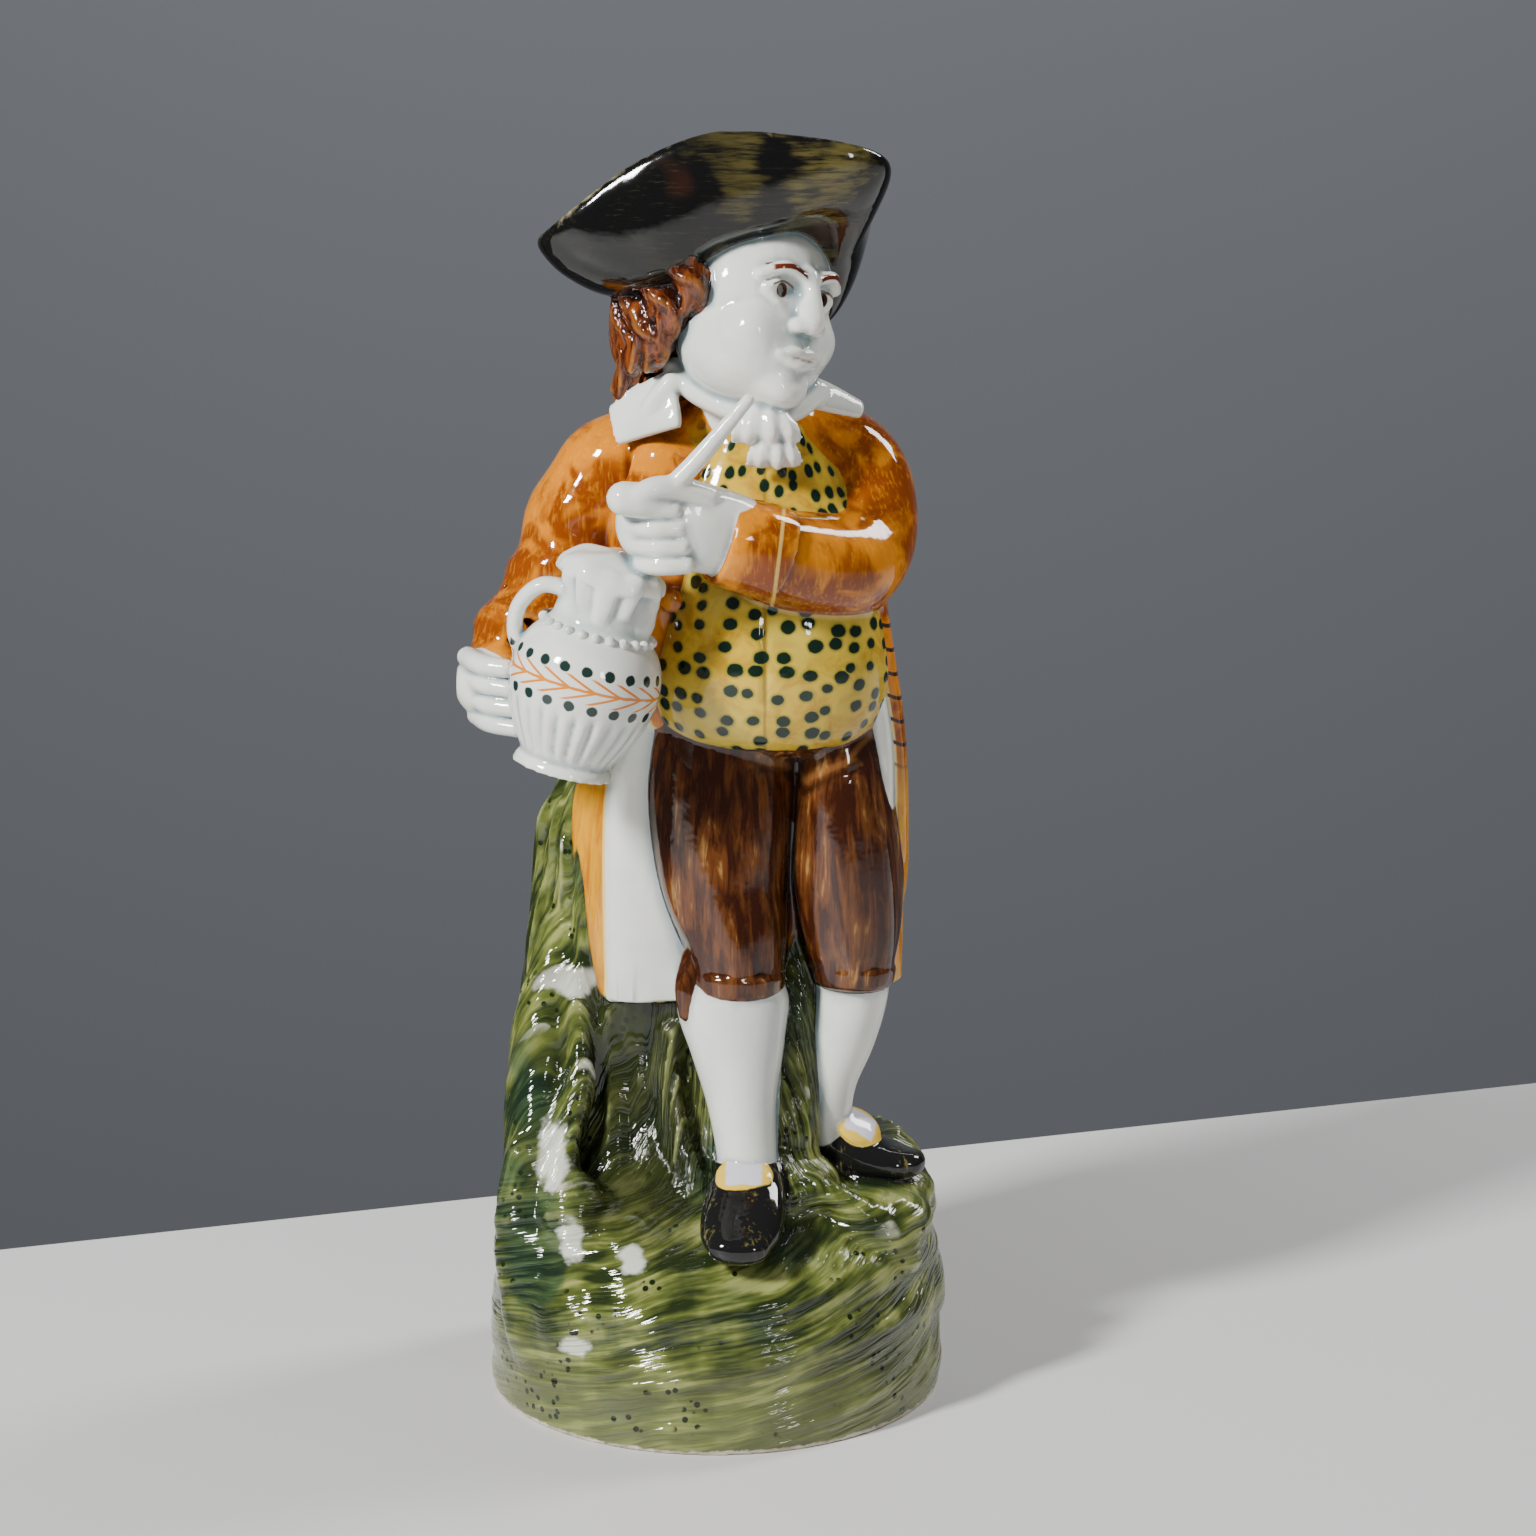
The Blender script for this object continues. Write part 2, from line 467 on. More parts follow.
def cloth_carving():
    """Folds and seams cut into the clothes."""
    fold = lambda rows: limb([[*row, 0.9, 1.1] for row in rows], 16, 20)
    return [
        (1.2, fold([[18, -17.5, 146], [12, -20, 150], [4, -20.5, 151]])),
        (1.2, fold([[19, -17, 143], [26, -18.5, 147], [34, -15.5, 150]])),
        (1.0, fold([[17.4, -18, 148], [17.4, -16, 138], [17.4, -13.5, 128]])),
        (0.8, fold([[11.5, -25.2, 167], [11.5, -24.9, 176], [11.5, -23, 188]])),
        (1.0, fold([[-46, -1, 188], [-42, -10, 183], [-36, -11, 179]])),
        (1.0, fold([[-49, -1, 183], [-45, -11, 178], [-39, -13, 174]])),
        (1.0, fold([[-50, -8, 175.5], [-44, -14.5, 172.5], [-40, -14, 170]])),
        (1.0, fold([[-20, -4, 222], [-19, -5.5, 212], [-21, -6, 200]])),
    ]


def hair():
    strands = lambda a, u: 0.55 * np.sin(a * 4 + u * 14)
    forms = [("hair", 2, ball([4, 6, 250], [19.5, 16, 19])), ("hair", 3, ball([2, 10, 237], [18, 11, 12]))]
    locks = [
        [[-4, -13.5, 269], [-6.5, -14.5, 263], [-3.4, -15.5, 258.5], [-5.5, -13.5, 253.5]],
        [[-9, -9, 267], [-13, -10, 259], [-9, -12.6, 252], [-12, -9.5, 245]],
        [[-13, -4, 264], [-17.5, -5.5, 255], [-14, -8, 247.6], [-17.6, -5, 239.5]],
        [[-16, 1, 260], [-19.5, 0, 250], [-17.4, -2.6, 242], [-20.4, -1, 233]],
        [[-17, 7, 256], [-20, 7, 246], [-18, 5, 238], [-20, 6, 230]],
        [[-12, -6.5, 256], [-14.6, -9, 250], [-11.6, -9.6, 245], [-14, -7, 240]],
        [[19, 15, 262], [20, 17, 252], [18, 18, 242], [19, 18, 234]],
        [[9, 20, 258], [10, 22, 248], [8, 21, 238], [9, 21, 230]],
        [[-3, 19, 258], [-4, 21, 248], [-2, 20, 238], [-4, 20, 230]],
        [[-12, 14, 257], [-14, 16, 247], [-11.6, 15, 238], [-14, 15, 230]],
        [[14, 18, 260], [15.6, 20.6, 250], [13, 20, 240], [14.4, 20, 232]],
        [[3, 21, 258], [3.4, 22.6, 248], [2.6, 21.6, 238], [3.4, 21.4, 230]],
    ]
    for lock in locks:
        rows = [[*place, r, r] for place, r in zip(lock, (3, 3.7, 3.5, 2.2))]
        forms.append(("hair", 0.8, limb(rows, 32, 40, start=0.6, relief=strands)))
    return forms


def neckwear():
    flutes = lambda a, u: u * (0.9 * np.cos(a * 9) + 0.3 * np.sin(a * 5 + 1))
    frill = lambda x, z, wide, drop, y: limb(
        [[x, y + 2, z, wide * 0.25, 2.4], [x, y - 0.6, z - drop * 0.6, wide * 0.5, 2.6],
         [x, y, z - drop, wide * 0.52, 1.4]], 140, 30, start=0.5, end=0.4, relief=flutes)
    flap_side = unit(np.array([-0.42, -0.8, 0.43]))
    flap = limb(
        [[-8.6, -9, 232.6, 7, 1.5], [-15, -6.6, 229.6, 6.2, 1.6], [-22, -3, 225.4, 4.8, 1.4]], 40, 24,
        ref=flap_side, start=0.6, end=0, square=3.4)
    fold = limb([[-9, -8, 236, 2.4, 2], [-13, -8, 231.4, 2.2, 2], [-16.5, -7.4, 226.6, 1.4, 1.6]], 24, 20)
    left_flap = limb(
        [[18, -4, 234.5, 4.4, 1.6], [25, -3, 232, 4, 1.6], [32.4, -1.6, 229, 2.4, 1.2]], 40, 24,
        ref=unit(np.array([0.3, -0.6, 0.75])), square=3)
    band = limb(
        [[-8, -3, 238, 3.4, 3], [-2, -9.4, 233.6, 3.4, 3], [8, -14, 230.4, 3.4, 3],
         [17, -12, 230.6, 3.2, 3], [23, -5, 233.6, 3, 2.8]], ref=UP)
    frills = (frill(11.6, 233, 14, 8.5, -17.6), frill(13.4, 226.6, 11, 7.5, -17))
    return [("white", 0.8, s) for s in (flap, fold, left_flap, band, *frills)]


HAT_TURN, HAT_TILT, HAT_LEAN = 50, 12, 18
HAT_CENTRE = np.array([5, 4, 263])
HAT_BAND = 19
HAT_AXES = turning(z=HAT_TURN) @ turning(x=-HAT_TILT) @ turning(y=HAT_LEAN)
# The brim every 30 degrees from the back: the rim's radius, and the heights of its top edge and its belly.
BRIM = [
    [32, 16, -4], [37, 8, -10], [44.5, -1, -13], [35, 12, -11], [31, 18.8, -3.5], [33, 19, 0.5],
    [41, 17, 3], [31, 14.5, -4.5], [30, 12, -13], [32, 12, -14], [42, 8, -9], [38, 12, -6],
]


def on_hat(angle, radius, height):
    return HAT_AXES @ np.array([radius * math.sin(angle), -radius * math.cos(angle), height]) + HAT_CENTRE


def hat():
    thick, count = BRIM_THICKNESS, 150
    rows = [BRIM[-1], *BRIM, BRIM[0], BRIM[1]]
    turn = np.arange(count) / count
    rings = []
    for t, (rim, rise, belly) in zip(turn, spline(rows, (1 + turn * len(BRIM)) / (len(rows) - 1))):
        reach, lift = rim - HAT_BAND, rise - belly
        outline = [
            [HAT_BAND - 7, -8], [HAT_BAND - 0.5, belly * 0.8 - 1],
            [HAT_BAND + 0.4 * reach, belly + 0.05 * lift], [HAT_BAND + 0.78 * reach, belly + 0.34 * lift],
            [rim, belly + 0.75 * lift], [rim + 0.3, rise],
            [rim + 0.3 - thick, rise + 0.4], [rim - thick - 0.8, belly + 0.74 * lift],
            [HAT_BAND + 0.68 * reach - 0.4 * thick, belly + 0.4 * lift + 0.5 * thick],
            [HAT_BAND + 0.3 * reach, max(belly + 0.12 * lift, 0) + thick],
            [HAT_BAND - 1, thick + 3], [HAT_BAND - 2.5, 11.5], [HAT_BAND - 7, 13],
        ]
        smooth = spline(outline + outline[:1], np.linspace(0, 1, 60, endpoint=False))
        rings.append([on_hat(2 * math.pi * t - math.pi, r, h) for r, h in smooth])
    rings = np.array(rings)
    count, size = rings.shape[:2]
    i, j = np.meshgrid(np.arange(count), np.arange(size), indexing="ij")
    a, b = i * size + j, i * size + (j + 1) % size
    c, d = ((i + 1) % count) * size + (j + 1) % size, ((i + 1) % count) * size + j
    faces = np.vstack([np.stack([a, b, c], -1).reshape(-1, 3), np.stack([a, c, d], -1).reshape(-1, 3)])
    plug = skin(
        [[on_hat(t, 14, h) for t in np.linspace(0, 2 * math.pi, 48, endpoint=False)] for h in (-9, 12)])
    return [("hat", 0.8, (rings.reshape(-1, 3), faces)), ("hat", 0.8, plug)]


def grip():
    wide, thick = GRIP_WIDTH / 2, GRIP_THICKNESS / 2
    out = 26 + FINGER_GAP + thick
    path = [
        [5, 12, 226], [5, out - 14, 231], [5, out - 2, 221], [5, out + 1, 202], [5, out - 2, 182],
        [5, out - 11, 164], [5, 24, 152]]
    return [("coat", 2.5, limb([[*p, thick, wide] for p in path], ref=ACROSS, square=2.6))]


def hollow():
    wall, bore, neck = WALL, MOUTH_RADIUS, NECK_BORE
    foot = BASE_RADIUS - wall
    throat = lambda height: [*on_hat(0, 0, height), bore, bore]
    return limb(
        [[0, 2, FLOOR, foot * 0.86, foot * 0.82], [0, 3, 24, foot * 0.88, foot * 0.8],
         [-3, 9, 40, 40 - wall, 34 - wall], [-7, 16, 58, 36 - wall, 22 - wall],
         [-7, 18, 78, 33 - wall, 20 - wall], [-3, 17, 98, 32 - wall, 20 - wall],
         [2, 15, 120, 31 - wall, 20 - wall], [5, 12, 142, 31 - wall, 20 - wall],
         [7, 9.5, 164, 30 - wall, 19 - wall], [7, 8.5, 186, 29 - wall, 18.5 - wall],
         [7, 7.5, 204, 26 - wall, 17.5 - wall], [7, 5.2, 217, neck + 4, neck + 1],
         [6.8, 3.6, 229, neck, neck], [6.4, 3.2, 240, neck + 1.5, neck + 1.5], [6, 3.5, 251, bore, bore],
         throat(-1), throat(12), throat(40)], 48, 90, start=0, end=0, level=True)


# One glazed surface over all the forms
class Block:
    """Distances to one form on the cells round it."""

    def __init__(self, shape):
        points, faces = shape
        grid = openvdb.FloatGrid.createLevelSetFromPolygons(
            np.ascontiguousarray(points, np.float32), triangles=np.ascontiguousarray(faces, np.uint32),
            transform=openvdb.createLinearTransform(CELL), halfWidth=BAND / CELL)
        margin = math.ceil(BAND / CELL) + 1
        self.low = np.floor(points.min(0) / CELL).astype(int) - margin
        size = np.ceil(points.max(0) / CELL).astype(int) + margin + 1 - self.low
        self.values = np.empty(size, np.float32)
        grid.copyToArray(self.values, ijk=self.low.tolist())

    def at(self, places):
        """Distances at places; BAND outside the block."""
        return sample(self.values, self.low, places, BAND)


def sample(values, low, places, outside):
    at = places / CELL - low
    inside = np.all((at >= 0) & (at < np.array(values.shape) - 1.001), 1)
    found = np.full(len(places), outside, np.float32)
    at = at[inside]
    i = at.astype(int)
    f = at - i
    total = 0
    for corner in np.ndindex(2, 2, 2):
        share = np.prod(np.where(corner, f, 1 - f), 1)
        total = total + share * values[tuple((i + corner).T)]
    found[inside] = total
    return found


def soft_min(a, b, soft):
    """The nearer of two distances, with the crease between their surfaces filled."""
    if not soft:
        return np.minimum(a, b)
    near = np.maximum(soft - np.abs(a - b), 0)
    sure = np.clip(1.5 - 1.5 * np.maximum(a, b) / BAND, 0, 1)
    return np.minimum(a, b) - sure * near * near / (4 * soft)


MAKERS = (
    rock, legs, breeches, coat, waistcoat, sleeves, hands,
    pipe, ale_jug, head, hair, neckwear, hat, grip,
)
blocks = [(zone, soft, Block(shape)) for make in MAKERS for zone, soft, shape in make()]
cavity = Block(hollow())

low = np.min([b.low for _, _, b in blocks], 0) - 3
high = np.max([b.low + b.values.shape for _, _, b in blocks], 0) + 3
field = np.full(high - low, BAND, np.float32)
rest = field.copy()  # distance to everything but the rock
for zone, soft, block in blocks:
    start = block.low - low
    window = tuple(slice(s, s + n) for s, n in zip(start, block.values.shape))
    field[window] = soft_min(field[window], block.values, soft)
    if zone != "rock":
        rest[window] = np.minimum(rest[window], block.values)

GRAIN = np.random.default_rng(4).random((64, 64, 64), dtype=np.float32)


def grain(x, y, z):
    """Smooth noise between 0 and 1 that changes over one unit of length."""
    total = 0
    cells = [np.floor(c).astype(int) for c in (x, y, z)]
    parts = [c - i for c, i in zip((x, y, z), cells)]
    parts = [t * t * (3 - 2 * t) for t in parts]
    for corner in np.ndindex(2, 2, 2):
        share = 1
        for t, up in zip(parts, corner):
            share = share * (t if up else 1 - t)
        total = total + share * GRAIN[tuple((i + up) % 64 for i, up in zip(cells, corner))]
    return total


def rock_relief(places):
    """Tool strokes in the rock: down the stump, and sweeping round the mound below it."""
    x, y, z = places.T
    girth = np.arctan2(x, -y) * BASE_RADIUS
    swirl = 5 * grain(x / 30, y / 30, z / 30)
    around = girth + swirl
    bark = grain(around / 3.2, z / 24, 0 * z + 5) + 0.5 * grain(around / 1.7, z / 13, 0 * z + 9)
    slant = z - 0.22 * girth + swirl
    sweep = 0.8 * grain(girth / 26, slant / 3.6, 0 * z + 2)
    sweep = sweep + 0.4 * grain(girth / 12, slant / 1.8, 0 * z + 7) + 0.3
    upper = np.clip((z + 0.3 * y - 42) / 14, 0, 1)
    return bark * upper + sweep * (1 - upper) - 0.75


STROKE_DEPTH = 1.3
CLEAR_OF_FIGURE, FADE_IN, FADE_UP = 0.2, 2, 6  # where the strokes start, and over what reach they deepen
near_rock = np.argwhere((np.abs(field) < 2) & (rest > CLEAR_OF_FIGURE))
places = (near_rock + low) * CELL
fade = np.clip(
    (rest[tuple(near_rock.T)] - CLEAR_OF_FIGURE) / FADE_IN, 0, 1) * np.clip(places[:, 2] / FADE_UP, 0, 1)
field[tuple(near_rock.T)] -= STROKE_DEPTH * rock_relief(places) * fade

start = cavity.low - low
lo = np.maximum(start, 0)
hi = np.minimum(start + cavity.values.shape, field.shape)
window = tuple(slice(a, b) for a, b in zip(lo, hi))
inner = tuple(slice(a - s, b - s) for a, b, s in zip(lo, hi, start))
field[window] = -soft_min(-field[window], cavity.values[inner], LIP_SOFTNESS)

for soft, shape in [*face_carving(), *cloth_carving()]:
    cut = Block(shape)
    window = tuple(slice(a, a + n) for a, n in zip(cut.low - low, cut.values.shape))
    field[window] = -soft_min(-field[window], cut.values, soft)

# The underside is cut flat, and nothing passes the box of the plain solid.
for axis in range(3):
    along = (np.arange(field.shape[axis]) + low[axis]) * CELL
    outside = np.maximum(lowest[axis] / UNIT - along, along - highest[axis] / UNIT).astype(np.float32)
    spread = [1, 1, 1]
    spread[axis] = len(along)
    field = np.maximum(field, outside.reshape(spread))


def blurred(values, reach):
    """A box mean over cells up to reach away, along each axis in turn."""
    width = 2 * reach + 1
    for axis in range(3):
        before = np.repeat(np.take(values, [0], axis), reach + 1, axis)
        after = np.repeat(np.take(values, [-1], axis), reach, axis)
        padded = np.concatenate([before, values, after], axis)
        total = np.cumsum(padded, axis, dtype=np.float32)
        n = values.shape[axis]
        values = (np.take(total, range(width, width + n), axis) - np.take(total, range(0, n), axis)) / width
    return values


surface = openvdb.FloatGrid(BAND)
surface.copyFromArray(field, ijk=low.tolist())
surface.transform = openvdb.createLinearTransform(CELL)
points, triangles, quads = surface.convertToPolygons(isovalue=0.0, adaptivity=0.0)
mesh = bpy.data.meshes.new("toby_jug_glazed")
mesh.from_pydata(
    points.tolist(), [], [t[::-1] for t in triangles.tolist()] + [q[::-1] for q in quads.tolist()])
jug = bpy.data.objects.new("toby_jug_glazed", mesh)
bpy.context.scene.collection.objects.link(jug)

thin = jug.modifiers.new("thin", "DECIMATE")
thin.ratio = FACES / (2 * len(quads) + len(triangles))
fewer = bpy.data.meshes.new_from_object(jug.evaluated_get(bpy.context.evaluated_depsgraph_get()))
jug.modifiers.clear()
jug.data = fewer
bpy.data.meshes.remove(mesh)
mesh = fewer
mesh.name = "toby_jug_glazed"

places = np.empty(len(mesh.vertices) * 3, np.float32)
mesh.vertices.foreach_get("co", places)
places = places.reshape(-1, 3)
ZONES = ["white", "rock", "breeches", "coat", "waistcoat", "hair", "hat", "shoe", "gold", "eye"]
strip = Block(left_edge())
near = {}
for name in ZONES:
    near[name] = np.full(len(places), BAND, np.float32)
    for zone, _, block in blocks:
        if zone == name:
            near[name] = np.minimum(near[name], block.at(places))
    mesh.attributes.new("near_" + name, "FLOAT", "POINT").data.foreach_set("value", near[name])
for name in ("rock", "hair"):
    others = np.min([near[other] for other in ZONES if other != name], 0)
    mesh.attributes.new(name + "_lead", "FLOAT", "POINT").data.foreach_set("value", others - near[name])
mesh.attributes.new("left_edge", "FLOAT", "POINT").data.foreach_set("value", strip.at(places))
mesh.attributes.new("near_hollow", "FLOAT", "POINT").data.foreach_set("value", cavity.at(places))
hollows = -sample(blurred(field, max(1, round(CREASE_REACH / CELL))), low, places, 0)
mesh.attributes.new("crease", "FLOAT", "POINT").data.foreach_set("value", hollows.astype(np.float32))


def own_places(name, turn, centre):
    """Each point's place in the directions of one form."""
    own = ((places - centre) @ turn).astype(np.float32)
    mesh.attributes.new(name, "FLOAT_VECTOR", "POINT").data.foreach_set("vector", own.ravel())


own_places("ale_place", ALE_TURN, ALE_FOOT)
own_places("head_place", HEAD_AXES, HEAD_CENTRE)
buckle = np.full(len(places), 9.0, np.float32)
for centre, radii, turns in BUCKLES:
    across = (places - centre) @ turning(*turns) / radii
    buckle = np.minimum(buckle, np.max(np.abs(across[:, :2]), 1))
mesh.attributes.new("buckle", "FLOAT", "POINT").data.foreach_set("value", buckle)
mesh.vertices.foreach_set("co", (places * UNIT).ravel())
mesh.polygons.foreach_set("use_smooth", [True] * len(mesh.polygons))
mesh.update()


# Paint and glaze
class Value:
    """A node's output, written in sums like a number."""

    def __init__(self, paint, socket):
        self.paint, self.socket = paint, socket

    def __add__(self, other):
        return self.paint.math("ADD", self, other)

    def __sub__(self, other):
        return self.paint.math("SUBTRACT", self, other)

    def __rsub__(self, other):
        return self.paint.math("SUBTRACT", other, self)

    def __mul__(self, other):
        return self.paint.math("MULTIPLY", self, other)

    def __pow__(self, other):
        return self.paint.math("POWER", self, other)

    def __neg__(self):
        return 0.0 - self

    def __abs__(self):
        return self.paint.math("ABSOLUTE", self)

    __radd__, __rmul__ = __add__, __mul__


class Paint:
    """A material's node tree."""

    def __init__(self, name):
        self.material = bpy.data.materials.new(name)
        self.material.use_nodes = True
        self.tree = self.material.node_tree
        self.shader = self.tree.nodes["Principled BSDF"]
        scale = self.node("ShaderNodeVectorMath", operation="SCALE")
        self.link(self.out(self.node("ShaderNodeTexCoord"), "Object"), scale.inputs[0])
        scale.inputs["Scale"].default_value = 1 / UNIT
        self.place = self.out(scale, 0)

    def node(self, kind, **settings):
        made = self.tree.nodes.new(kind)
        for name, value in settings.items():
            setattr(made, name, value)
        return made

    def out(self, node, name):
        return Value(self, node.outputs[name])

    def link(self, value, socket):
        if isinstance(value, Value):
            self.tree.links.new(value.socket, socket)
        elif isinstance(value, tuple):
            socket.default_value = value if len(value) == len(socket.default_value) else (*value, 1)
        else:
            socket.default_value = value

    def math(self, operation, a, b=0.0):
        made = self.node("ShaderNodeMath", operation=operation)
        self.link(a, made.inputs[0])
        self.link(b, made.inputs[1])
        return self.out(made, 0)

    def least(self, a, b):
        return self.math("MINIMUM", a, b)

    def most(self, a, b):
        return self.math("MAXIMUM", a, b)

    def attribute(self, name, kind="Fac"):
        return self.out(self.node("ShaderNodeAttribute", attribute_name=name), kind)

    def step(self, value, low, high):
        """0 below low and 1 above high, smooth between."""
        made = self.node("ShaderNodeMapRange", interpolation_type="SMOOTHSTEP")
        for socket, number in zip(made.inputs, (value, low, high, 0.0, 1.0)):
            self.link(number, socket)
        return self.out(made, 0)

    def mix(self, share, a, b, blend="MIX"):
        made = self.node("ShaderNodeMix", data_type="RGBA", blend_type=blend)
        self.link(share, made.inputs[0])
        self.link(a, made.inputs[6])
        self.link(b, made.inputs[7])
        return self.out(made, 2)

    def split(self, vector):
        made = self.node("ShaderNodeSeparateXYZ")
        self.link(vector, made.inputs[0])
        return [self.out(made, n) for n in range(3)]

    def joined(self, x, y):
        made = self.node("ShaderNodeCombineXYZ")
        self.link(x, made.inputs[0])
        self.link(y, made.inputs[1])
        return self.out(made, 0)

    def texture(self, kind, place, size, numbers=None, **settings):
        """A texture node whose marks are about size across."""
        made = self.node("ShaderNodeTex" + kind, **settings)
        self.link(place, made.inputs["Vector"])
        for name, number in {"Scale": 1 / size, **(numbers or {})}.items():
            made.inputs[name].default_value = number
        return made

    def noise(self, size, detail=3.0, roughness=0.55, stretch=(1, 1, 1), turn=(0, 0, 0), warp=0.0):
        aside = self.node("ShaderNodeMapping")
        self.link(self.place, aside.inputs["Vector"])
        aside.inputs["Rotation"].default_value = [math.radians(a) for a in turn]
        aside.inputs["Scale"].default_value = stretch
        numbers = {"Detail": detail, "Roughness": roughness, "Distortion": warp}
        return self.out(self.texture("Noise", self.out(aside, 0), size, numbers), "Fac")

    def bump(self, height, distance, strength):
        made = self.node("ShaderNodeBump")
        made.inputs["Distance"].default_value = distance * UNIT
        made.inputs["Strength"].default_value = strength
        self.link(height, made.inputs["Height"])
        return made


class Figure(Paint):
    """A paint with what the jug's colours share."""

    def __init__(self, name):
        super().__init__(name)
        self.crease = self.attribute("crease")
        self.wobble = (self.noise(2.2) - 0.5) * 0.7
        self.x, self.y, self.z = self.split(self.place)
        self.streak_up = self.noise(2.4, 4, 0.62, stretch=(1, 1, 0.13), warp=0.5)
        self.streak_fine = self.noise(0.9, 3, 0.6, stretch=(1, 1, 0.10))
        self.blotch = self.noise(13, 3, 0.5)
        self.patch = self.noise(26, 2, 0.5, turn=(30, 10, 0))
        self.mottle = self.noise(6, 4, 0.6, warp=0.6)


# Where things are painted, in parts of the figure
# The green glaze missed the rock in front here: across, up, half width, half height.
BARE_PATCHES = [
    (-33, 96, 8, 3), (-37, 59, 3.6, 7), (-32.5, 43, 3, 4), (-18.5, 41, 3.2, 2.4), (-31, 22, 3.4, 2.4)]

RECESS_MIDDLE = -17  # the dark hollow beside the right leg
CUFF_SEAM = -9.6  # where the turned-back cuff of the raised sleeve ends
STITCH_SPACING = 5.2  # between the short dark strokes down the coat's left front
SPOT_SPACING = 4.9
WAISTCOAT_SEAM = 11.5
BELLY_MIDDLE, BELLY_BACK, BELLY_RADIUS = 13, 6.0, 25  # the belly's upright axis, and its radius there
EYE_ASIDE, EYE_HEIGHT, LIPS_DROP = 6.2, 4.5, 9.1  # from the head's middle
BAND_SPOTS = 20  # in each row round the small jug
BAND_ROWS = ((25.4, 0.5), (17.2, 0.9))  # height, and how far the spots are turned on
BAND_MIDDLE = 21.3
SPOT_STEP = 4.7  # between two spots of a row
# Folds of the breeches round the fork: from across, up, to across, up.
BREECHES_FOLDS = [
    (20.5, 143.5, 31, 149.5), (31, 149.5, 39, 156), (19.5, 144.5, 10.5, 149.5), (10.5, 149.5, 4, 156),
]


def pearl_white(p):
    """Pearl-white glaze that pools grey-blue."""
    pearl = p.mix(p.step(p.crease, -0.08, 0.5), (0.80, 0.80, 0.73), (0.25, 0.33, 0.35))
    return p.mix(p.step(p.blotch, 0.4, 0.7), pearl, p.mix(1.0, pearl, (0.90, 0.95, 0.97), "MULTIPLY"))


def rock_green(p):
    """Copper-green glaze run over the rock, and the height of its strokes."""
    girth = p.math("ARCTAN2", p.x, -p.y) * BASE_RADIUS
    swirl = p.noise(34, 2, 0.5) * 8
    bark_place = p.joined(girth + swirl, p.z * 0.12)
    sweep_place = p.joined(girth * 0.09, p.z - girth * 0.22 + swirl)
    upper = p.step(p.z + p.y * 0.3, 40, 54)
    strokes = []
    for size in (2.6, 1.1):
        bark, sweep = [
            p.out(p.texture("Noise", place, size, noise_dimensions="2D"), "Fac")
            for place in (bark_place, sweep_place)
        ]
        strokes.append(p.mix(upper, sweep, bark))
    broad, narrow = strokes
    punches = p.out(p.texture("Voronoi", p.place, 2.4), "Distance")
    punch = p.step(punches, 0.36, 0.24) * p.step(p.noise(11, 1, 0.5, turn=(0, 40, 0)), 0.56, 0.62)
    run = broad * 0.6 + narrow * 0.4
    cloud = (p.blotch - 0.5) * 0.7
    green = p.mix(p.step(run + cloud, 0.36, 0.62), (0.016, 0.026, 0.007), (0.110, 0.134, 0.028))
    green = p.mix(p.step(run + cloud, 0.54, 0.72), green, (0.28, 0.30, 0.095))
    teal = p.mix(p.step(run, 0.4, 0.62), (0.008, 0.020, 0.012), (0.045, 0.085, 0.035))
    green = p.mix(p.step(p.patch, 0.54, 0.66) * 0.8, green, teal)
    shade = p.step(abs(p.x - RECESS_MIDDLE) + p.wobble * 5, 16, 9) * p.step(p.z, 104, 92)
    shade = shade * (p.step(p.z, 38, 50) * p.step(p.y, 16, 9))
    green = p.mix(shade * 0.82, green, (0.013, 0.017, 0.004))
    green = p.mix(p.step(p.z, 30, 4) * 0.5, green, (0.19, 0.21, 0.075))
    green = p.mix(p.step(p.crease, 0.05, 0.7), green, (0.008, 0.014, 0.005))
    green = p.mix(punch, green, (0.010, 0.016, 0.005))
    bare_peak = p.step(p.crease + p.step(p.noise(17, 1, 0.4, turn=(20, 0, 50)), 0.62, 0.5) * 2, -0.28, -0.7)
    bare_peak = bare_peak * p.step(p.z, 26, 40)
    green = p.mix(p.step(p.crease, -0.3, -0.8), green, (0.30, 0.33, 0.12))
    for across, up, wide, tall in BARE_PATCHES:
        a = ((p.x - across) * (1 / wide)) ** 2.0
        b = ((p.z - up) * (1 / tall)) ** 2.0
        far = (a + b) ** 0.5 + (p.wobble * 1.1 + (broad - 0.5) * 1.4)
        patch_share = p.step(far, 1.2, 0.65) * 0.85 * p.step(p.y, 4, -4)
        green = p.mix(patch_share, green, (0.72, 0.73, 0.63))
    green = p.mix(bare_peak, green, (0.74, 0.74, 0.62))
    return green, broad * 0.9 + narrow * 0.7


